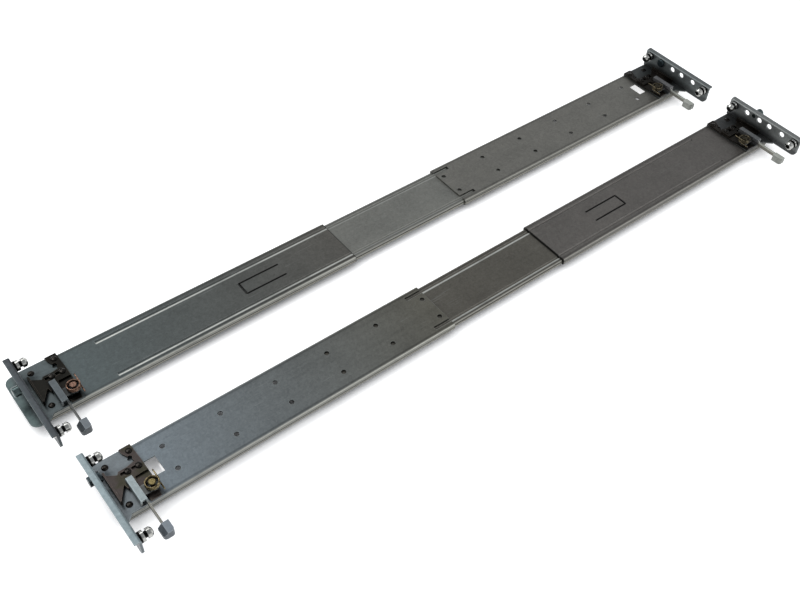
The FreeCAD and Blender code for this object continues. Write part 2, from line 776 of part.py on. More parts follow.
def rivets(name):
    """Base plate rivets, the latch plate's corner rivet and the two that guide the jaw."""
    made = [rivet(f"{name}_base", place, S.base_sheet) for place in BASE_RIVETS]
    made.append(rivet(f"{name}_corner", CORNER_RIVET, LATCH_TOP))
    made += [rivet(f"{name}_guide", place, LEVER_SEAT) for place in GUIDES]
    return together(name, made)


def latch_plate(name):
    """Dark plate on the base plate: a band across the rail with a tongue under the jaw."""
    body = new_body(name)
    outline = sketch_on(body, f"{name}_outline", "XY_Plane", LATCH_SEAT)
    far = S.latch_reach
    edge = S.base_half
    draw_outline(
        outline,
        [
            (far - 0.6, edge),
            (S.latch_tab_x, edge),
            (S.latch_tab_x + 0.4, edge - S.latch_tab_length),
            (S.latch_step_x, S.peep_y - S.peep_radius - 2),
            (S.jaw_neck_x, S.guide_y + 3),
            (S.jaw_neck_x, -S.stud_y),
            (S.lever_far_x + 2, -S.lever_high - 6),
            (S.lever_far_x + 4, -edge),
            (far - 2.6, -edge),
            (far, -edge / 3),
            (far, edge / 2.6),
        ],
    )
    pad(body, f"{name}_sheet", outline, S.latch_sheet)
    holes = sketch_on(body, f"{name}_holes", "XY_Plane")
    for x, y in (CORNER_RIVET, *GUIDES):
        draw_circle(holes, x, y, S.rivet_radius + S.rivet_fit)
    draw_circle(holes, *PIVOT, S.pivot_radius + S.rivet_fit)
    draw_circle(holes, S.peep_x, S.peep_y, S.peep_radius)
    pocket(body, f"{name}_hole_cuts", holes)
    return body


def jaw(name):
    """Sliding jaw that clamps the rack post against the flange, with its edge turned up."""
    body = new_body(name)
    outline = sketch_on(body, f"{name}_outline", "XY_Plane", JAW_SEAT)
    gap = S.jaw_gap
    neck = S.jaw_neck_x
    wall = S.rivet_radius + S.slip + 2
    slot_half = S.stud_radius + S.slip
    draw_outline(
        outline,
        [
            (gap, S.jaw_high),
            (neck, S.guide_y + 1.4),
            (neck + 1.6, S.guide_y + wall),
            (S.jaw_tail_x, S.guide_y + wall),
            (S.jaw_tail_x, S.guide_y - wall - 3),
            (STUD[0] + slot_half + 3, S.guide_y - wall - 3),
            (STUD[0] + slot_half + 2, STUD[1] - slot_half - 2),
            (neck + 1.0, STUD[1] - slot_half - 2),
            (neck, -S.guide_y),
            (gap, -S.jaw_low),
        ],
    )
    pad(body, f"{name}_plate", outline, S.jaw_sheet)
    edge = sketch_on(body, f"{name}_edge", "XY_Plane", JAW_SEAT)
    draw_outline(edge, box_outline(gap, gap + S.jaw_sheet, -S.jaw_low, S.jaw_high))
    pad(body, f"{name}_lip", edge, S.jaw_lip)
    slots = sketch_on(body, f"{name}_slots", "XY_Plane")
    half = S.rivet_radius + S.slip
    for x, y in GUIDES:
        draw_outline(slots, box_outline(x - S.jaw_travel - half, x + half, y - half, y + half))
    low = STUD[1] - slot_half
    high = STUD[1] + S.stud_swing + slot_half
    draw_outline(slots, box_outline(STUD[0] - slot_half, STUD[0] + slot_half, low, high))
    pocket(body, f"{name}_slot_cuts", slots)
    return body


def lever(name):
    """Release lever folded from sheet: a channel over the jaw, an eye and a long arm."""
    body = new_body(name)
    blade = sketch_on(body, f"{name}_blade", "YZ_Plane", S.lever_far_x)
    tip = -S.arm_tip_y
    draw_outline(
        blade,
        [
            (-S.lever_high, LEVER_SEAT),
            (-S.lever_high, LEVER_TOP),
            (-S.lever_low, LEVER_TOP),
            (-S.lever_low - S.arm_neck, ARM_TOP),
            (tip, ARM_TOP),
            (tip, ARM_FOOT),
            (-S.lever_low - S.arm_neck, ARM_FOOT),
            (-S.lever_low, LEVER_SEAT),
        ],
    )
    pad(body, f"{name}_blade_sheet", blade, S.lever_sheet)
    wrap = sketch_on(body, f"{name}_wrap", "XZ_Plane", S.lever_high)
    near = S.lever_near_x
    draw_outline(
        wrap,
        [
            (S.lever_far_x + S.lever_sheet, LEVER_TOP),
            (near, LEVER_TOP),
            (near, LEVER_SEAT),
            (near + S.lever_sheet, LEVER_SEAT),
            (near + S.lever_sheet, LEVER_TOP - S.lever_sheet),
            (S.lever_far_x + S.lever_sheet, LEVER_TOP - S.lever_sheet),
        ],
    )
    pad(body, f"{name}_channel", wrap, S.lever_low - S.lever_high)
    fillet(body, f"{name}_bend", S.lever_sheet - 0.3, Y_WAY, [(near, 0, LEVER_TOP)])
    eye = sketch_on(body, f"{name}_eye", "XY_Plane", LEVER_SEAT)
    draw_circle(eye, *PIVOT, S.lever_boss_radius)
    pad(body, f"{name}_eye_sheet", eye, S.lever_sheet)
    foot = sketch_on(body, f"{name}_foot", "XY_Plane", LEVER_SEAT)
    reach = S.lever_boss_radius - 0.6
    low = PIVOT[1] - reach
    high = PIVOT[1] + reach
    draw_outline(foot, box_outline(S.lever_far_x, PIVOT[0], low, high))
    pad(body, f"{name}_foot_sheet", foot, S.lever_sheet)
    stud = sketch_on(body, f"{name}_stud", "XY_Plane", JAW_SEAT)
    draw_circle(stud, *STUD, S.stud_radius)
    pad(body, f"{name}_stud_pin", stud, LEVER_TOP - JAW_SEAT - S.lever_sheet / 2)
    hole = sketch_on(body, f"{name}_hole", "XY_Plane")
    draw_circle(hole, *PIVOT, S.pivot_radius + S.rivet_fit)
    pocket(body, f"{name}_pivot_hole", hole)
    return body


def finger_pad(name):
    """Moulded pad pushed over the end of the lever's arm, with a sloping face for the finger."""
    body = new_body(name)
    near = S.lever_far_x + (S.lever_sheet - S.pad_width) / 2
    far = near + S.pad_width
    high = S.pad_cover - S.arm_tip_y
    low = high - S.pad_length
    bottom = ARM_FOOT - S.pad_under
    top = bottom + S.pad_height
    outline = sketch_on(body, f"{name}_outline", "XY_Plane", bottom)
    draw_outline(outline, box_outline(near, far, low, high))
    pad(body, f"{name}_block", outline, S.pad_height)
    fillet(body, f"{name}_corners", S.pad_round, Z_WAY, [(near, low, 0), (far, low, 0)])
    slope = sketch_on(body, f"{name}_slope", "XZ_Plane")
    draw_outline(slope, [(near, top - S.pad_slope_drop), (near + S.pad_slope_width, top), (near, top)])
    pocket(body, f"{name}_slope_cut", slope)
    slot = sketch_on(body, f"{name}_slot", "XZ_Plane", -high)
    blade = box_outline(S.lever_far_x, S.lever_far_x + S.lever_sheet, ARM_FOOT, ARM_TOP)
    draw_outline(slot, blade)
    pocket(body, f"{name}_slot_cut", slot, S.pad_cover, reverse=True)
    return body


def pivot(name):
    """Shouldered pivot pin of the lever, riveted in the latch plate."""
    top = LEVER_TOP + S.pivot_head_height
    profile = [
        (LATCH_SEAT, 0),
        (LATCH_SEAT, S.pivot_radius),
        (LATCH_TOP, S.pivot_radius),
        (LATCH_TOP, S.pivot_shoulder_radius),
        (LEVER_SEAT - 0.2, S.pivot_shoulder_radius),
        (LEVER_SEAT - 0.2, S.pivot_radius),
        (LEVER_TOP, S.pivot_radius),
        (LEVER_TOP, S.pivot_head_radius),
        (top - 0.3, S.pivot_head_radius),
        (top, S.pivot_head_radius - 0.5),
        (top, 0),
    ]
    return turned(name, profile, (*PIVOT, 0), "Z_Axis")


def torsion_spring(name):
    """Torsion spring that turns the lever back: a coil round the pivot and two straight legs."""
    wire = S.coil_wire_radius
    floor = LEVER_SEAT + S.lever_sheet + wire + 0.05
    helix = DOC.addObject("Part::Helix", f"{name}_helix")
    helix.setExpression("Radius", S.coil_radius.text)
    helix.setExpression("Pitch", S.coil_pitch.text)
    helix.setExpression("Height", (S.coil_pitch * S.coil_turns).text)
    put(helix, (*PIVOT, floor))
    section = DOC.addObject("Part::Circle", f"{name}_section")
    section.setExpression("Radius", wire.text)
    section.Placement.Rotation = FreeCAD.Rotation(X_WAY, 90)
    put(section, (PIVOT[0] + S.coil_radius, PIVOT[1], floor))
    coil = DOC.addObject("Part::Sweep", f"{name}_coil")
    coil.Sections = [section]
    coil.Spine = (helix, [])
    coil.Solid = True
    coil.Frenet = True
    legs = []
    top = floor + S.coil_pitch * S.coil_turns
    for way, level in ((-1, floor), (1, top)):
        leg = DOC.addObject("Part::Cylinder", f"{name}_leg")
        leg.setExpression("Radius", wire.text)
        leg.setExpression("Height", S.coil_leg.text)
        leg.Placement.Rotation = FreeCAD.Rotation(X_WAY, -90 * way)
        put(leg, (PIVOT[0] + S.coil_radius, PIVOT[1], level))
        legs.append(leg)
    spring = DOC.addObject("Part::MultiFuse", name)
    spring.Shapes = [coil] + legs
    return spring


def thumb_knob(name):
    """Knob on the front flange's outer face."""
    start = -S.flange_sheet
    stem = start - S.knob_stem_length
    face = stem - S.knob_length
    profile = [
        (0, 0),
        (0, S.knob_stem_radius),
        (stem, S.knob_stem_radius),
        (stem, S.knob_radius),
        (face + 0.8, S.knob_radius),
        (face, S.knob_radius - 0.8),
        (face, 0),
    ]
    return turned(name, profile, (0, -S.knob_y, S.knob_height))


def screw_and_nut(name):
    """Screw through the rear flange's first hole, with a hexagon nut on the outer face."""
    y = HOLE_PLACES[0]
    head = S.screw_head_height
    tail = -S.flange_sheet - S.nut_length
    profile = [
        (tail, 0),
        (tail, S.screw_radius),
        (0, S.screw_radius),
        (0, S.screw_head_radius),
        (head - 0.8, S.screw_head_radius),
        (head, S.screw_head_radius - 1),
        (head, 0),
    ]
    screw = turned(f"{name}_screw", profile, (0, y, S.hole_row))
    nut = DOC.addObject("Part::Prism", f"{name}_nut")
    nut.Polygon = 6
    nut.setExpression("Circumradius", (S.nut_width / 3 ** 0.5).text)
    nut.setExpression("Height", S.nut_length.text)
    nut.Placement.Rotation = FreeCAD.Rotation(Y_WAY, -90) * FreeCAD.Rotation(Z_WAY, 30)
    put(nut, (-S.flange_sheet, y, S.hole_row))
    bore = DOC.addObject("Part::Cylinder", f"{name}_bore")
    bore.setExpression("Radius", (S.screw_radius + S.rivet_fit).text)
    bore.setExpression("Height", (S.nut_length + 2).text)
    bore.Placement.Rotation = FreeCAD.Rotation(Y_WAY, -90)
    put(bore, (1 - S.flange_sheet, y, S.hole_row))
    threaded = DOC.addObject("Part::Cut", f"{name}_threaded")
    threaded.Base = nut
    threaded.Tool = bore
    return together(name, [screw, threaded])


def end_fitting(prefix, front):
    """All the pieces of one end, drawn as the front end."""
    pieces = {
        "bracket": bracket(f"{prefix}_bracket", front),
        "pins": locating_pins(f"{prefix}_pins"),
        "rivets": rivets(f"{prefix}_rivets"),
        "latch_plate": latch_plate(f"{prefix}_latch_plate"),
        "jaw": jaw(f"{prefix}_jaw"),
        "lever": lever(f"{prefix}_lever"),
        "finger_pad": finger_pad(f"{prefix}_finger_pad"),
        "pivot": pivot(f"{prefix}_pivot"),
        "spring": torsion_spring(f"{prefix}_spring"),
    }
    if front:
        pieces["knob"] = thumb_knob(f"{prefix}_knob")
    else:
        pieces["screw"] = screw_and_nut(f"{prefix}_screw")
    return pieces


# ---- the pair -----------------------------------------------------------------------------------


def right_rail():
    """Pieces of the right rail in the rail's own axes, by name."""
    outer_y = MIDDLE_HALF + TRACK / 2
    outer_z = OUTER_TOP - S.slide_sheet - (S.outer_depth - 2 * S.slide_sheet) / 2
    inner_y = SERVER_HALF + TRACK / 2
    inner_z = MIDDLE_TOP - S.slide_sheet - (S.middle_depth - 2 * S.slide_sheet) / 2
    outer = (S.outer_cage_start, S.outer_ball_pitch, OUTER_BALL_COUNT, outer_y, outer_z)
    inner = (S.inner_cage_start, S.inner_ball_pitch, INNER_BALL_COUNT, inner_y, inner_z)
    pieces = {
        "front_sleeve": front_sleeve(),
        "center_channel": centre_channel(),
        "slide_outer": outer_member(),
        "slide_middle": middle_member(),
        "slide_server": server_member(),
        "outer_cages": cage_strips("outer_cage_pair", *outer),
        "outer_balls": ball_rows("outer_ball_rows", *outer),
        "inner_cages": cage_strips("inner_cage_pair", *inner),
        "inner_balls": ball_rows("inner_ball_rows", *inner),
    }
    front = end_fitting("front_end", True)
    rear = end_fitting("rear_end", False)
    rear["sleeve"] = rear_sleeve()
    pieces.update({f"front_{name}": piece for name, piece in front.items()})
    for name, piece in rear.items():
        image = across(f"rear_{name}_image", piece, X_WAY)
        put(image, (RAIL_LENGTH, 0, 0))
        pieces[f"rear_{name}"] = image
    return pieces


def build_pair():
    """Both rails, laid out side by side, by node name."""
    middle = (S.rail_spacing + S.flange_low - S.flange_high) / 2
    corner = (-RAIL_LENGTH / 2 - S.rail_stagger, middle, -SERVER_FACE)
    nodes = {}
    for name, piece in right_rail().items():
        laid = DOC.addObject("Part::Compound", f"laid_{name}")
        laid.Links = [piece]
        laid.Label = f"right_{name}"
        put(laid, corner)
        nodes[laid.Label] = laid
        image = across(f"image_{name}", laid, X_WAY)
        image.Label = f"left_{name}"
        put(image, (0, -S.rail_spacing, 0))
        nodes[image.Label] = image
    DOC.recompute()
    return nodes


def check(nodes):
    """Stop before anything is written if a feature failed, cut nothing or has no sound shape."""
    failed = [o.Label for o in DOC.Objects if {"Invalid", "Error"} & set(o.State)]
    failed += [name for name, before, after in cuts if after > before - NEAR]
    failed += [name for name, node in nodes.items() if node.Shape.isNull() or not node.Shape.isValid()]
    if failed:
        raise RuntimeError(f"not sound: {', '.join(failed)}")


def main():
    nodes = build_pair()
    check(nodes)
    os.makedirs("parts", exist_ok=True)
    for name, node in nodes.items():
        node.Shape.exportStep(f"parts/{name}.step")
    print(f"{len(nodes)} nodes written")


main()
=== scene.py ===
import math

import bmesh
import bpy
from mathutils import Matrix, Vector


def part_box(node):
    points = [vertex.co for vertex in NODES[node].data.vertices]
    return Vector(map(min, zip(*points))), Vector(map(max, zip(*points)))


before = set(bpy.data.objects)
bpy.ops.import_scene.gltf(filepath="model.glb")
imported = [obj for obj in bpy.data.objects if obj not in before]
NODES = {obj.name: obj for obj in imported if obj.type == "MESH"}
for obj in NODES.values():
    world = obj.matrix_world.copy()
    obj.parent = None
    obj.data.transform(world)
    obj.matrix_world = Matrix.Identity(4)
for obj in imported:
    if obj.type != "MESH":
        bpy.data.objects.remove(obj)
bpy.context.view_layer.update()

# Camera of the photograph: metres and degrees, in the row frame.
CAMERA_AT = (-0.448, -0.4475, 0.6448)
CAMERA_TO = (-0.0758, -0.0176, 0.0108)
CAMERA_ROLL = 3.66
CAMERA_LENS = 44.08


def rgb(r, g, b):
    return (r, g, b, 1.0)


def middle_of(node):
    """Middle line of a rail's sheet, across the rail."""
    low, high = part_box(node)
    return (low[1] + high[1]) / 2


# ---- places on the rails, in metres -------------------------------------------------------------

MIDDLE = {side: middle_of(f"{side}_front_sleeve") for side in ("right", "left")}
FRONT_FLANGE = {"right": -0.3733, "left": 0.3733}
REAR_FLANGE_OFF = 0.3667
SLEEVE_HALF = 0.0272
CHANNEL_HALF = 0.0257
# Middle line to a guide bead, how far the painted highlight line beside it lies aside, and where that line starts
# behind the flange.
BEAD_OFF = 0.0202
BEAD_HIGHLIGHT_SHIFT = 0.0015
BEAD_START = 0.0650
# Foot of the bend from the web to the side wall.
BEND_FOOT = 0.0078
# Front flange to the root and tip of the spring tongue, and to the front sleeve's mouth.
TONGUE = (0.2356, 0.1946)
TONGUE_SLOT = 0.0070
MOUTH = 0.2979
# Middle line to where a release lever leaves the rail, and the top of its low sheet.
ARM_START = 0.0275
EYE_TOP = 0.0175
# Ground lit through a rear sleeve's window: side, which way it lies, from and to along the rail,
# how far off the rail's middle, half width and strength.
WINDOW_LIGHT = (
    ("right", 1.0, 0.328, 0.350, 0.007, 0.009, 0.7),
    ("left", -1.0, 0.314, 0.336, 0.006, 0.009, 0.15),
    ("left", -1.0, 0.314, 0.3225, 0.001, 0.004, 0.45),
)

# ---- shared shades ------------------------------------------------------------------------------

WORN = rgb(0.34, 0.36, 0.35)
# Near black for painted shade: corners, side walls, wall lines, the tongue slot and the sleeve's mouth.
PAINTED_SHADE = rgb(0.012, 0.012, 0.011)
# Painted highlights: beside the guide beads, on the bends and along the side walls.
BEAD_HIGHLIGHT = rgb(0.62, 0.63, 0.59)
BEND_HIGHLIGHT = rgb(0.50, 0.50, 0.45)
WALL_HIGHLIGHT = rgb(0.36, 0.35, 0.30)
# Painted shade on pins and rivets.
PIN_SHADE = rgb(0.004, 0.004, 0.004)
# How bright the edges of a sheet are rubbed, how dark the painted shade on its side walls is, and how
# bright the painted highlight on the bend on a rail's far side is next to the near one.
SHEET_WEAR = 0.6
WALL_SHADE = 0.50
FAR_BEND = 0.45
# Painted shade and highlight lines along the side walls: level above the ground, half width, strength, colour.
WALL_LINES = (
    (0.0078, 0.0004, 0.6, PAINTED_SHADE),
    (0.0066, 0.0006, 0.7, WALL_HIGHLIGHT),
    (0.0053, 0.0004, 0.7, PAINTED_SHADE),
)


# ---- shader helpers -----------------------------------------------------------------------------


class Graph:
    """A small builder for one material's nodes."""

    def __init__(self, name):
        self.material = bpy.data.materials.new(name)
        self.material.use_nodes = True
        self.tree = self.material.node_tree
        self.tree.nodes.clear()

    def node(self, kind, inputs=None, **settings):
        made = self.tree.nodes.new(kind)
        for key, value in settings.items():
            setattr(made, key, value)
        for key, value in (inputs or {}).items():
            self.feed(made.inputs[key], value)
        return made

    def feed(self, socket, value):
        if isinstance(value, bpy.types.NodeSocket):
            self.tree.links.new(value, socket)
        elif isinstance(value, bpy.types.Node):
            self.tree.links.new(value.outputs[0], socket)
        else:
            socket.default_value = value

    def math(self, operation, a, b=0.0, clamp=False):
        made = self.node("ShaderNodeMath", operation=operation, use_clamp=clamp)
        self.feed(made.inputs[0], a)
        self.feed(made.inputs[1], b)
        return made.outputs[0]

    def mix(self, factor, a, b, blend="MIX"):
        made = self.node("ShaderNodeMix", data_type="RGBA", blend_type=blend)
        self.feed(made.inputs["Factor"], factor)
        self.feed(made.inputs[6], a)
        self.feed(made.inputs[7], b)
        return made.outputs[2]

    def span(self, value, low, high, new_low=0.0, new_high=1.0):
        """Value stretched from one range to another, and kept inside it."""
        made = self.node("ShaderNodeMapRange", clamp=True)
        for key, number in (("Value", value), ("From Min", low), ("From Max", high),
                            ("To Min", new_low), ("To Max", new_high)):
            self.feed(made.inputs[key], number)
        return made.outputs[0]

    def noise(self, scale, detail=3.0, rough=0.5, stretch=(1, 1, 1), shift=(0, 0, 0), turn=0.0):
        place = self.node("ShaderNodeMapping", {"Vector": self.where(), "Scale": stretch, "Location": shift,
                                                "Rotation": (0, 0, turn)})
        made = self.node("ShaderNodeTexNoise", {"Vector": place, "Scale": scale, "Detail": detail,
                                                "Roughness": rough})
        return made.outputs["Fac"]

    def where(self):
        if not hasattr(self, "_where"):
            self._where = self.node("ShaderNodeTexCoord").outputs["Object"]
        return self._where

    def axis(self, letter):
        if not hasattr(self, "_axes"):
            self._axes = self.node("ShaderNodeSeparateXYZ", {"Vector": self.where()}).outputs
        return self._axes[letter]

    def off(self, value, centre):
        """Distance of a value from a centre."""
        return self.math("ABSOLUTE", self.math("SUBTRACT", value, centre))

    def band(self, value, centre, half, soft):
        """1 within half of the centre, fading to 0."""
        return self.span(self.off(value, centre), half, half + soft, 1.0, 0.0)


def tint(colour, by):
    return rgb(*(min(1.0, c * by) for c in colour[:3]))


def edge_wear(g, radius):
    """1 along outer edges, 0 on flat faces: where a rounded normal departs from the true one."""
    round_normal = g.node("ShaderNodeBevel", {"Radius": radius}, samples=4)
    flat = g.node("ShaderNodeNewGeometry").outputs["Normal"]
    dot = g.node("ShaderNodeVectorMath", operation="DOT_PRODUCT")
    g.feed(dot.inputs[0], round_normal)
    g.feed(dot.inputs[1], flat)
    return g.span(dot.outputs["Value"], 0.995, 0.90)


def crevice(g, reach):
    """1 in corners and under other pieces, 0 in the open."""
    shade = g.node("ShaderNodeAmbientOcclusion", {"Distance": reach}, samples=4)
    return g.span(shade.outputs["AO"], 0.85, 0.25)


def scratches(g, turn, shift):
    """Thin scattered scratches that run one way."""
    lines = g.noise(1.0, 2.0, 0.6, stretch=(14, 900, 900), shift=shift, turn=turn)
    patches = g.noise(55, 2.0, shift=shift)
    thin = g.span(lines, 0.66, 0.72)
    return g.math("MULTIPLY", thin, g.span(patches, 0.52, 0.66))


def finish(g, colour, metallic, roughness, relief):
    """The material of a graph, with its shader fed and joined to its output."""
    shader = g.node("ShaderNodeBsdfPrincipled", {"Metallic": metallic, "Base Color": colour,
                                                 "Roughness": roughness, "Normal": relief})
    out = g.node("ShaderNodeOutputMaterial")
    g.tree.links.new(shader.outputs[0], out.inputs["Surface"])
    return g.material


def rail_light_and_shade(g, shade, cloud, rail, half, bead, fold):
    """Painted light and shade along a rail's sheet.

    A painted highlight beside each guide bead, a painted highlight on the bend with a line of painted shade
    inside it, painted shade on the side walls with painted lines along them, and painted shadow in the slot of
    the spring tongue and at the sleeve's mouth.
    """
    across = g.off(g.axis("Y"), MIDDLE[rail])
    # Painted highlight: a bright line just beside each guide bead, starting a little behind the front flange.
    highlight_across = g.off(g.axis("Y"), MIDDLE[rail] - BEAD_HIGHLIGHT_SHIFT)
    line = g.math("MULTIPLY", g.band(highlight_across, BEAD_OFF, 0.0005, 0.0009),
                  g.span(cloud, 0.3, 0.5, bead * 0.6, bead))
    behind = g.off(g.axis("X"), FRONT_FLANGE[rail])
    line = g.math("MULTIPLY", line, g.span(behind, BEAD_START - 0.0005, BEAD_START + 0.0005))
    shade = g.mix(line, shade, BEAD_HIGHLIGHT)
    # Painted shade: a dull line just inside the bend.
    inside = g.math("MULTIPLY", g.band(across, half - 0.0030, 0.0004, 0.0008), 0.35)
    shade = g.mix(inside, shade, PAINTED_SHADE)
    # Painted highlight on the bend from the web to the side wall, weaker on the rail's far side.
    bend = g.math("MULTIPLY", g.span(across, half - 0.0019, half - 0.0010),
                  g.span(g.axis("Z"), BEND_FOOT, BEND_FOOT + 0.0010))
    side = g.span(g.axis("Y"), MIDDLE[rail] - 0.01, MIDDLE[rail] + 0.01, 1.0, FAR_BEND)
    bend = g.math("MULTIPLY", bend, side)
    shade = g.mix(g.math("MULTIPLY", bend, g.span(cloud, 0.3, 0.5, fold * 0.7, fold)), shade, BEND_HIGHLIGHT)
    # Painted shade on the side walls, with painted dark and light lines along them.
    wall = g.span(across, half - 0.0006, half - 0.0003)
    shade = g.mix(g.math("MULTIPLY", wall, WALL_SHADE), shade, PAINTED_SHADE)
    for level, width, amount, colour in WALL_LINES:
        drawn = g.math("MULTIPLY", g.band(g.axis("Z"), level, width, 0.0003), wall)
        shade = g.mix(g.math("MULTIPLY", drawn, amount), shade, colour)
    # Painted shadow in the slot round the spring tongue and at the front sleeve's mouth.
    root, tip = TONGUE
    beside = g.math("MULTIPLY", g.span(behind, tip, tip + 0.0003),
                    g.span(behind, root, root + 0.0003, 1.0, 0.0))
    slot = g.math("MULTIPLY", g.band(across, TONGUE_SLOT, 0.0008, 0.0003), beside)
    end = g.math("MULTIPLY", g.band(behind, tip + 0.0002, 0.0010, 0.0003),
                 g.span(across, TONGUE_SLOT, TONGUE_SLOT + 0.0004, 1.0, 0.0))
    mouth = g.band(behind, MOUTH, 0.0004, 0.0007)
    dark = g.math("MAXIMUM", g.math("MAXIMUM", slot, end), mouth)
    return g.mix(g.math("MULTIPLY", dark, 0.85), shade, PAINTED_SHADE)


def plated_sheet(name, colour, near_reflection_tint=None, worn=WORN, rough=0.45, spangle=0.09, rolling=0.08, crevice_shade=0.7, seed=0.0,
                 rail=None, half=SLEEVE_HALF, bead=0.0, fold=0.0, zones=()):
    """Zinc plated sheet: rolling lines, cloudy plating, crystals, scratches, bright edges and painted shade in its
    corners.

    As a painted reflection, the colour turns from the near reflection tint at the pair's left to the plain
    colour; in the zones it is painted paler or darker as painted light and shade: axis, from, to and how much paler.
    """
    g = Graph(name)
    near_reflection_tint = near_reflection_tint or colour
    streak = g.noise(1.0, 4.0, 0.6, stretch=(9, 620, 620), shift=(seed, 0.3, 0.1))
    cloud = g.noise(38, 5.0, 0.6, shift=(seed, 0, 0))
    grain = g.noise(620, 3.0, 0.75, shift=(seed, 0.2, 0))
    crystals = g.node("ShaderNodeTexVoronoi", {"Vector": g.where(), "Scale": 420.0, "Randomness": 1.0})
    crystal = g.node("ShaderNodeRGBToBW", {"Color": crystals.outputs["Color"]}).outputs[0]
    tone = g.math("ADD", g.span(streak, 0.3, 0.7, -rolling, rolling), g.span(cloud, 0.3, 0.7, -0.09, 0.09))
    tone = g.math("ADD", tone, g.span(crystal, 0.2, 0.8, -spangle, spangle))
    tone = g.math("ADD", tone, g.span(grain, 0.3, 0.7, -0.17, 0.17))
    tone = g.math("ADD", tone, 0.5, clamp=True)
    # Painted reflection: the pair's left end takes the near reflection tint, fading to the plain colour.
    reflection_fade = g.span(g.axis("X"), -0.33, -0.06)
    dark = g.mix(reflection_fade, tint(near_reflection_tint, 0.66), tint(colour, 0.66))
    pale = g.mix(reflection_fade, tint(near_reflection_tint, 1.34), tint(colour, 1.34))
    shade = g.mix(tone, dark, pale)
    marks = g.math("MAXIMUM", scratches(g, 0.12, (0.2, 0.1, 0)), scratches(g, -0.5, (0.7, 0.4, 0)))
    shade = g.mix(g.math("MULTIPLY", marks, 0.3), shade, worn)
    # Painted light and shade: each zone is made paler or darker.
    for axis, start, end, paler in zones:
        shade = g.mix(g.span(g.axis(axis), start, end), shade, g.mix(1.0, shade, rgb(*paler), "MULTIPLY"))
    edge = g.math("MULTIPLY", edge_wear(g, 0.0005), g.span(cloud, 0.35, 0.6, SHEET_WEAR * 0.6, SHEET_WEAR))
    shade = g.mix(edge, shade, worn)
    # Painted shade in corners and under other pieces.
    shade = g.mix(g.math("MULTIPLY", crevice(g, 0.004), crevice_shade), shade, PAINTED_SHADE)
    if rail is not None:
        shade = rail_light_and_shade(g, shade, cloud, rail, half, bead, fold)
    roughness = g.span(g.math("ADD", g.math("MULTIPLY", streak, 0.6), g.math("MULTIPLY", cloud, 0.4)),
                       0.35, 0.65, rough - 0.07, rough + 0.09)
    height = g.math("ADD", g.math("MULTIPLY", grain, 0.5), g.math("MULTIPLY", streak, 0.5))
    relief = g.node("ShaderNodeBump", {"Strength": 0.3, "Distance": 0.00006, "Height": height})
    return finish(g, shade, 0.75, roughness, relief)


def turned_metal(name, colour, dark, rough=0.22, ring_depth=0.12, necks=()):
    """Turned and plated pins and rivets: fine lathe rings, a cloudy tone, and painted shade in hollows and on the
    necks.
    """
    g = Graph(name)
    ring = g.node("ShaderNodeTexWave", {"Vector": g.where(), "Scale": 2600.0, "Distortion": 0.6, "Detail": 1.0},
                  wave_type="BANDS", bands_direction="X", wave_profile="SIN")
    cloud = g.noise(420, 4.0, 0.6)
    grain = g.noise(2600, 2.0)
    tone = g.math("ADD", g.span(cloud, 0.3, 0.7, -0.2, 0.2), g.span(grain, 0.3, 0.7, -0.08, 0.08))
    shade = g.mix(g.math("ADD", tone, 0.5, clamp=True), tint(colour, 0.5), tint(colour, 1.5))
    # Painted shade in hollows and under other pieces.
    shade = g.mix(g.math("MULTIPLY", crevice(g, 0.003), 0.8), shade, dark)
    shade = g.mix(g.math("MULTIPLY", edge_wear(g, 0.0003), 0.45), shade, tint(colour, 1.5))
    outward = g.off(g.axis("X"), 0.0)
    # Painted shade at the places given in necks.
    for place, half in necks:
        shade = g.mix(g.band(outward, place, half, 0.0004), shade, dark)
    roughness = g.span(cloud, 0.3, 0.7, rough - 0.05, rough + 0.10)
    relief = g.node("ShaderNodeBump", {"Strength": ring_depth, "Distance": 0.00005, "Height": ring.outputs["Fac"]})
    return finish(g, shade, 1.0, roughness, relief)


def dark_plate(name, colour, rub, metallic, rough=0.38, stain=None):
    """Dark phosphated plate with oily clouds and stains, rubbed lighter along its edges."""
    g = Graph(name)
    cloud = g.noise(95, 5.0, 0.62)
    grain = g.noise(1900, 3.0, 0.7)
    speck = g.node("ShaderNodeTexVoronoi", {"Vector": g.where(), "Scale": 900.0, "Randomness": 1.0})
    tone = g.math("ADD", g.span(cloud, 0.3, 0.7, -0.28, 0.28), g.span(grain, 0.3, 0.7, -0.12, 0.12))
    tone = g.math("ADD", tone, g.span(speck.outputs["Distance"], 0.0, 0.6, 0.05, -0.05))
    shade = g.mix(g.math("ADD", tone, 0.5, clamp=True), tint(colour, 0.45), tint(colour, 1.7))
    stains = g.span(g.noise(60, 3.0, shift=(0.4, 0.2, 0)), 0.50, 0.60, 0.0, 0.8)
    shade = g.mix(stains, shade, stain or tint(colour, 0.7))
    marks = scratches(g, 0.9, (0.1, 0.5, 0))
    shade = g.mix(g.math("MULTIPLY", marks, 0.5), shade, rub)
    edge = g.math("MULTIPLY", edge_wear(g, 0.0004), g.span(cloud, 0.4, 0.62, 0.15, 0.75))
    shade = g.mix(edge, shade, rub)
    roughness = g.span(cloud, 0.3, 0.7, rough - 0.08, rough + 0.16)
    relief = g.node("ShaderNodeBump", {"Strength": 0.35, "Distance": 0.00005, "Height": grain})
    return finish(g, shade, metallic, roughness, relief)


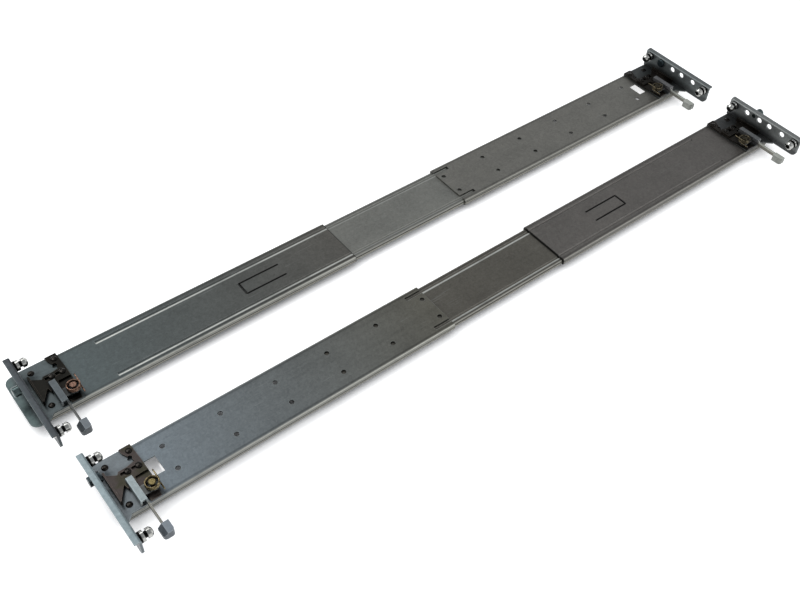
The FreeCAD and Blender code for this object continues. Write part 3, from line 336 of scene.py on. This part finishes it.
def moulded(name, colour, light):
    """Moulded grip: fine grain texture, slightly shiny on its edges, with top faces painted lighter as painted light
    and painted shade in corners.
    """
    g = Graph(name)
    cloud = g.noise(160, 4.0)
    cells = g.node("ShaderNodeTexVoronoi", {"Vector": g.where(), "Scale": 2400.0, "Randomness": 1.0},
                   feature="SMOOTH_F1")
    shade = g.mix(g.span(cloud, 0.3, 0.7), tint(colour, 0.8), tint(colour, 1.2))
    shade = g.mix(g.span(cells.outputs["Distance"], 0.1, 0.7, 0.0, 0.25), shade, tint(colour, 0.6))
    blotch = g.noise(420, 3.0, 0.6, shift=(0.3, 0.1, 0))
    shade = g.mix(g.span(blotch, 0.42, 0.62, 0.0, 0.5), shade, tint(colour, 0.5))
    # Painted light: faces that look up are made paler.
    facing = g.node("ShaderNodeSeparateXYZ", {"Vector": g.node("ShaderNodeNewGeometry").outputs["Normal"]})
    shade = g.mix(g.span(facing.outputs["Z"], 0.75, 0.95, 0.0, 0.55), shade, tint(colour, 1.9))
    shade = g.mix(g.math("MULTIPLY", edge_wear(g, 0.0006), 0.7), shade, light)
    # Painted shade in corners and under other pieces.
    shade = g.mix(g.math("MULTIPLY", crevice(g, 0.003), 0.5), shade, tint(colour, 0.4))
    roughness = g.span(cloud, 0.3, 0.7, 0.34, 0.52)
    relief = g.node("ShaderNodeBump", {"Strength": 0.3, "Distance": 0.00008, "Height": cells.outputs["Distance"]})
    return finish(g, shade, 0.25, roughness, relief)


def spring_wire(name, colour, dark):
    """Drawn wire with a copper wash: lines along the wire and painted shade between the turns."""
    g = Graph(name)
    cloud = g.noise(520, 4.0, 0.6)
    drawn = g.noise(1.0, 3.0, stretch=(900, 900, 4200))
    shade = g.mix(g.span(cloud, 0.38, 0.62), tint(colour, 0.18), tint(colour, 1.5))
    shade = g.mix(g.span(drawn, 0.5, 0.7, 0.0, 0.35), shade, tint(colour, 1.6))
    # Painted shade between the turns and under other pieces.
    shade = g.mix(g.math("MULTIPLY", crevice(g, 0.003), 0.95), shade, dark)
    roughness = g.span(cloud, 0.3, 0.7, 0.2, 0.38)
    relief = g.node("ShaderNodeBump", {"Strength": 0.2, "Distance": 0.00004, "Height": drawn})
    return finish(g, shade, 1.0, roughness, relief)


# ---- materials of the pieces --------------------------------------------------------------------


def arm_zone(side, paler):
    """The part of a release lever that stands out past the rail, painted paler or darker as painted light and shade.
    """
    start = MIDDLE[side] - ARM_START
    return "Y", start, start - 0.003, paler


def eye_zone(paler):
    """The low sheet of a release lever, round its pivot and under the spring, painted darker as painted shade."""
    return "Z", EYE_TOP + 0.0004, EYE_TOP, paler


def fitting_sheet(name, colour, worn, seed, *zones):
    """Plated sheet of an end fitting."""
    return plated_sheet(name, rgb(*colour), worn=rgb(*worn), rolling=0.04, seed=seed, zones=zones)


def pin_necks(flange):
    """Places of a locating pin painted dark as painted shade: beside the flange, its neck and the end of its head.
    """
    return (flange - 0.0008, 0.0008), (flange - 0.0052, 0.0010), (flange - 0.0112, 0.0003)


# Painted shade at the foot of the far brackets: axis, from, to.
FOOT_SHADE = ("Z", 0.021, 0.0165)
# The first key that is in a node's name gives its material; a jaw goes with its latch plate.
# The sleeves, brackets, levers, latches, pads, springs and pivots each take a tone of their own, lighter or darker
# than their twins: lit and shaded copies of one material, painted light and shade.
MATERIALS = {
    "right_front_sleeve": plated_sheet("sleeve_zinc_a", rgb(0.122, 0.116, 0.103), rgb(0.070, 0.086, 0.088),
                                       rail="right", bead=0.95, fold=0.95),
    "right_center_channel": plated_sheet("channel_zinc_a", rgb(0.212, 0.214, 0.195), seed=0.9, rail="right",
                                         half=CHANNEL_HALF, bead=0.35, fold=0.30),
    "right_rear_sleeve": plated_sheet("sleeve_zinc_b", rgb(0.188, 0.184, 0.165), seed=0.4, rail="right", fold=0.40),
    "left_rear_sleeve": plated_sheet("sleeve_zinc_c", rgb(0.136, 0.131, 0.108), rgb(0.140, 0.166, 0.184),
                                     seed=1.4, rail="left", fold=0.85),
    "left_center_channel": plated_sheet("channel_zinc_b", rgb(0.121, 0.114, 0.097), seed=1.9, rail="left",
                                        half=CHANNEL_HALF, bead=0.95, fold=0.45),
    "left_front_sleeve": plated_sheet("sleeve_zinc_d", rgb(0.145, 0.136, 0.125), seed=2.4, rail="left", fold=0.40),
    "slide": plated_sheet("slide_steel", rgb(0.66, 0.66, 0.67), worn=rgb(0.75, 0.75, 0.75), rough=0.28,
                          spangle=0.05, rolling=0.12, crevice_shade=0.35),
    # Painted light and shade in the zones: the near bracket darker high on its flange and paler on its ear, bracket
    # b paler on its rim, the far brackets darker at their foot.
    "right_front_bracket": fitting_sheet(
        "bracket_zinc_a", (0.068, 0.082, 0.085), (0.17, 0.19, 0.19), 3.1,
        ("Z", 0.018, 0.030, (0.70, 0.66, 0.70)), ("X", -0.3765, -0.380, (1.2, 1.35, 1.3))),
    "left_rear_bracket": fitting_sheet(
        "bracket_zinc_b", (0.132, 0.150, 0.160), (0.45, 0.49, 0.50), 3.7, ("Z", 0.028, 0.031, (1.60, 1.72, 1.70))),
    "right_rear_bracket": fitting_sheet(
        "bracket_zinc_c", (0.150, 0.165, 0.165), (0.34, 0.37, 0.36), 4.3, (*FOOT_SHADE, (0.38, 0.38, 0.38))),
    "left_front_bracket": fitting_sheet(
        "bracket_zinc_d", (0.205, 0.215, 0.210), (0.42, 0.44, 0.43), 4.9, (*FOOT_SHADE, (0.30, 0.30, 0.31))),
    # Painted light and shade in the lever zones: the arms past the rail paler or darker, the low sheet under the
    # spring darker.
    "right_front_lever": fitting_sheet(
        "lever_zinc_a", (0.076, 0.088, 0.094), (0.30, 0.33, 0.34), 5.2,
        arm_zone("right", (0.80, 0.70, 0.62)), eye_zone((0.38, 0.36, 0.34))),
    "left_rear_lever": fitting_sheet(
        "lever_zinc_b", (0.245, 0.285, 0.292), (0.52, 0.56, 0.57), 5.8,
        arm_zone("left", (0.70, 0.58, 0.48)), eye_zone((0.42, 0.38, 0.36))),
    "right_rear_lever": fitting_sheet(
        "lever_zinc_c", (0.165, 0.165, 0.168), (0.46, 0.47, 0.46), 6.4,
        arm_zone("right", (2.6, 2.7, 2.4)), eye_zone((0.45, 0.43, 0.42))),
    "left_front_lever": fitting_sheet(
        "lever_zinc_d", (0.150, 0.155, 0.158), (0.55, 0.56, 0.55), 7.1,
        arm_zone("left", (2.9, 2.85, 2.5)), eye_zone((0.45, 0.43, 0.42))),
    "right_front_latch": dark_plate("latch_phosphate_a", rgb(0.010, 0.0095, 0.008), rgb(0.10, 0.085, 0.07), 0.95),
    "left_rear_latch": dark_plate("latch_phosphate_b", rgb(0.045, 0.037, 0.034), rgb(0.20, 0.17, 0.14), 0.85,
                                  stain=rgb(0.030, 0.029, 0.017)),
    "latch": dark_plate("latch_phosphate", rgb(0.022, 0.019, 0.016), rgb(0.14, 0.12, 0.10), 0.92),
    "front_pins": turned_metal("pin_nickel_front", rgb(0.42, 0.42, 0.40), PIN_SHADE, rough=0.10,
                               necks=pin_necks(FRONT_FLANGE["left"])),
    "rear_pins": turned_metal("pin_nickel_rear", rgb(0.42, 0.42, 0.40), PIN_SHADE, rough=0.10,
                              necks=pin_necks(REAR_FLANGE_OFF)),
    "rivets": turned_metal("rivet_steel", rgb(0.022, 0.020, 0.018), PIN_SHADE, rough=0.16),
    "right_front_pivot": turned_metal("pivot_copper", rgb(0.12, 0.070, 0.052), rgb(0.006, 0.004, 0.003), rough=0.14),
    "left_rear_pivot": turned_metal("pivot_brass", rgb(0.10, 0.080, 0.036), rgb(0.006, 0.005, 0.003), rough=0.14),
    # Painted shade: a darkened copy for the far pivots.
    "pivot": turned_metal("pivot_shaded", rgb(0.045, 0.038, 0.024), rgb(0.004, 0.004, 0.003), rough=0.14),
    "balls": turned_metal("ball_steel", rgb(0.62, 0.63, 0.65), rgb(0.03, 0.03, 0.03), rough=0.08, ring_depth=0.0),
    "cages": plated_sheet("cage_yellow", rgb(0.38, 0.30, 0.14), worn=rgb(0.6, 0.52, 0.35), rough=0.34),
    "right_front_spring": spring_wire("spring_copper", rgb(0.19, 0.115, 0.082), rgb(0.008, 0.005, 0.004)),
    "left_rear_spring": spring_wire("spring_gold", rgb(0.20, 0.16, 0.085), rgb(0.008, 0.006, 0.004)),
    # Painted shade: a darkened copy for the far springs.
    "spring": spring_wire("spring_shaded", rgb(0.095, 0.080, 0.052), rgb(0.006, 0.005, 0.004)),
    "knob": turned_metal("knob_steel", rgb(0.075, 0.100, 0.100), rgb(0.006, 0.009, 0.009), rough=0.26),
    "screw": dark_plate("screw_black", rgb(0.022, 0.032, 0.036), rgb(0.12, 0.15, 0.16), 0.8, rough=0.3),
    "right_front_finger_pad": moulded("pad_dark_grey", rgb(0.085, 0.098, 0.108), rgb(0.34, 0.38, 0.40)),
    "left_rear_finger_pad": moulded("pad_grey", rgb(0.125, 0.145, 0.165), rgb(0.46, 0.50, 0.52)),
    "finger_pad": moulded("pad_pale_grey", rgb(0.30, 0.31, 0.28), rgb(0.52, 0.54, 0.50)),
}


def dress(node):
    """Give a CAD node its material."""
    name = node.name.replace("jaw", "latch")
    key = next(key for key in MATERIALS if key in name)
    for place in node.material_slots:
        place.material = MATERIALS[key]


for node in NODES.values():
    dress(node)


# ---- floor, light and camera --------------------------------------------------------------------


def shown_white(g):
    """Light Path mask: 1 for the camera, reflections and glass, 0 for the light on the object."""
    path = g.node("ShaderNodeLightPath")
    seen = g.math("MAXIMUM", path.outputs["Is Camera Ray"], path.outputs["Is Glossy Ray"])
    return g.math("MAXIMUM", seen, path.outputs["Is Transmission Ray"])


def window_light(g):
    """Light on the ground under the windows of the rear sleeves."""
    light = 0.0
    for side, way, low, high, aside, half, strength in WINDOW_LIGHT:
        along = g.math("MULTIPLY", g.axis("X"), way)
        inside = g.math("MULTIPLY", g.span(along, low, low + 0.0015),
                        g.span(along, high - 0.0015, high, 1.0, 0.0))
        across = g.band(g.axis("Y"), MIDDLE[side] + aside, half, 0.003)
        light = g.math("ADD", light, g.math("MULTIPLY", g.math("MULTIPLY", inside, across), strength))
    return light


# Radius and height of the paper sweep that is floor and backdrop in one.
SWEEP = ((3.6, -0.0002), (3.9, 0.03), (4.15, 0.14), (4.35, 0.38), (4.5, 0.8), (4.6, 1.7))
SWEEP_SIDES = 72


def make_floor():
    """Floor that bends up to a low backdrop; it looks white, and keeps the object's shadow."""
    g = Graph("studio_floor")
    cloud = g.noise(2.0, 2.0)
    shade = g.mix(g.span(cloud, 0.3, 0.7), rgb(0.90, 0.90, 0.90), rgb(0.93, 0.93, 0.93))
    lit = g.node("ShaderNodeBsdfDiffuse", {"Color": shade})
    open_sky = g.node("ShaderNodeAmbientOcclusion", {"Distance": 0.02}, samples=8)
    paper = g.span(open_sky.outputs["AO"], 0.35, 0.75, 0.0, 0.6)
    glow = g.node("ShaderNodeEmission", {"Color": rgb(1, 1, 1)})
    g.feed(glow.inputs["Strength"], g.math("ADD", paper, window_light(g)))
    both = g.node("ShaderNodeAddShader")
    g.feed(both.inputs[0], lit.outputs[0])
    g.feed(both.inputs[1], glow.outputs[0])
    pick = g.node("ShaderNodeMixShader")
    g.feed(pick.inputs[0], shown_white(g))
    g.feed(pick.inputs[1], lit.outputs[0])
    g.feed(pick.inputs[2], both.outputs[0])
    out = g.node("ShaderNodeOutputMaterial")
    g.tree.links.new(pick.outputs[0], out.inputs["Surface"])
    mesh = bmesh.new()
    rings = [[mesh.verts.new((r * math.cos(turn), r * math.sin(turn), z))
              for turn in (math.tau * k / SWEEP_SIDES for k in range(SWEEP_SIDES))] for r, z in SWEEP]
    mesh.faces.new(rings[0])
    for inner, outer in zip(rings, rings[1:]):
        for k in range(SWEEP_SIDES):
            after = (k + 1) % SWEEP_SIDES
            mesh.faces.new((inner[k], outer[k], outer[after], inner[after])).smooth = True
    data = bpy.data.meshes.new("studio_floor")
    mesh.to_mesh(data)
    mesh.free()
    data.materials.append(g.material)
    floor = bpy.data.objects.new("studio_floor", data)
    bpy.context.scene.collection.objects.link(floor)


def make_world():
    world = bpy.data.worlds.new("studio_world")
    bpy.context.scene.world = world
    world.use_nodes = True
    nodes, links = world.node_tree.nodes, world.node_tree.links
    nodes.clear()
    sky = nodes.new("ShaderNodeBackground")
    sky.inputs["Color"].default_value = rgb(0.93, 0.96, 1.0)
    sky.inputs["Strength"].default_value = 0.50
    out = nodes.new("ShaderNodeOutputWorld")
    links.new(sky.outputs[0], out.inputs["Surface"])


def aim(obj, target, roll=0.0):
    """Turn a lamp or camera to look at the target, rolled by degrees."""
    back = (obj.location - Vector(target)).normalized()
    right = Vector((0, 0, 1)).cross(back).normalized()
    up = back.cross(right)
    turn = math.radians(roll)
    right, up = right * math.cos(turn) + up * math.sin(turn), up * math.cos(turn) - right * math.sin(turn)
    obj.rotation_euler = Matrix((right, up, back)).transposed().to_euler()


def softbox(name, at, to, size, watts, colour=(1, 1, 1)):
    lamp = bpy.data.lights.new(name, "AREA")
    lamp.shape = "RECTANGLE"
    lamp.size, lamp.size_y = size
    lamp.energy = watts
    lamp.color = colour
    obj = bpy.data.objects.new(name, lamp)
    bpy.context.scene.collection.objects.link(obj)
    obj.location = at
    aim(obj, to)


def make_camera():
    data = bpy.data.cameras.new("photo_camera")
    data.lens = CAMERA_LENS
    data.sensor_width = 36.0
    data.clip_start = 0.01
    camera = bpy.data.objects.new("photo_camera", data)
    bpy.context.scene.collection.objects.link(camera)
    camera.location = CAMERA_AT
    aim(camera, CAMERA_TO, CAMERA_ROLL)
    bpy.context.scene.camera = camera


make_floor()
make_world()
softbox("key", (-0.7, 0.9, 1.5), (-0.1, 0, 0), (1.2, 0.9), 15)
softbox("fill", (0.9, -1.0, 1.2), (0.1, 0, 0), (1.4, 0.8), 6)
make_camera()
bpy.context.scene.view_settings.view_transform = "Standard"
